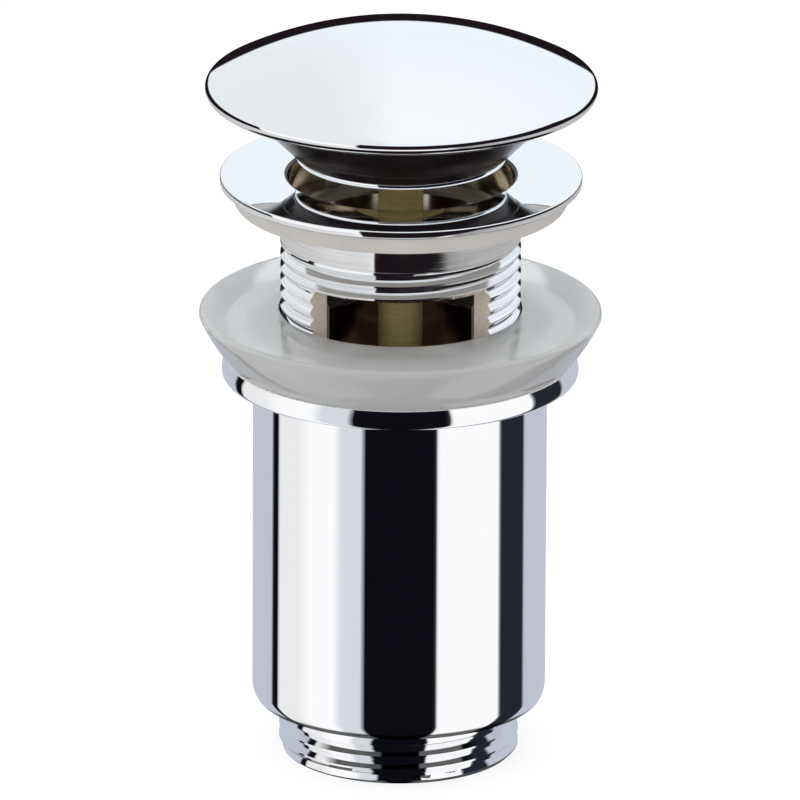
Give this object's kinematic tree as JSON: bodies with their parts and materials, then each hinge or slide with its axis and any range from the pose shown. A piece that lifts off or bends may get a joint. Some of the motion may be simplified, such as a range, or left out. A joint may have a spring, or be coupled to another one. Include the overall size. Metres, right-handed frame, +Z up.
{
  "type": "pop up basin waste",
  "caption": "Slotted basin waste with a sprung domed plug, a flange on a threaded tail, two gaskets and a collared lower body with a threaded outlet.",
  "frame": {"origin": "centre of the outlet's free end, which is the lowest face", "axes": "+Z up along the axis of the waste towards the plug, -Y towards one overflow slot"},
  "size_m": [0.0702, 0.0702, 0.1311],
  "materials": {
    "chromed_brass": "polished chrome plate on brass",
    "raw_brass": "turned, unplated",
    "spring_steel": "drawn wire and stamped strip",
    "white_plastic": "moulded acetal",
    "black_rubber": "moulded, semi-gloss",
    "clear_gasket": "milky translucent moulding",
    "off_white_gasket": "matt off-white rubber"
  },
  "bodies": {
    "lower_body": {"lower_body": "chromed_brass", "lower_gasket": "clear_gasket"},
    "flange": {"flange_tail": "chromed_brass", "flange_gasket": "off_white_gasket", "cartridge_body": "raw_brass", "lock_washer": "spring_steel", "cartridge_locknut": "raw_brass", "guide_bush": "white_plastic", "wiper_ring": "black_rubber", "gland_circlip": "spring_steel", "spacer_sleeve": "white_plastic", "end_plug": "raw_brass", "spring": "spring_steel"},
    "index": {"index_ring": "white_plastic", "follower_pins": "spring_steel"},
    "plug": {"spindle": "raw_brass", "thrust_washer": "white_plastic", "plug_cap": "chromed_brass", "plug_seal": "black_rubber", "seal_retainer": "chromed_brass", "plug_nut": "raw_brass"}
  },
  "joints": [
    {"name": "clamp_slide", "type": "slide", "parent": "lower_body", "child": "flange", "axis": [0, 0, 1], "range_m": [-0.015, 0.005]},
    {"name": "plug_press", "type": "slide", "parent": "flange", "child": "plug", "axis": [0, 0, 1], "range_m": [-0.0052, 0], "stiffness_N_per_m": 600, "springref_m": 0.008, "deforming": ["spring"]},
    {"name": "index_turn", "type": "hinge", "parent": "flange", "child": "index", "pos_m": [0, 0, 0.052], "axis": [0, 0, 1], "range_deg": [0, 22.5]}
  ],
  "couplings": [
    {"joint": "index_turn", "follows": "plug_press", "rad_per_m": -75.5}
  ]
}
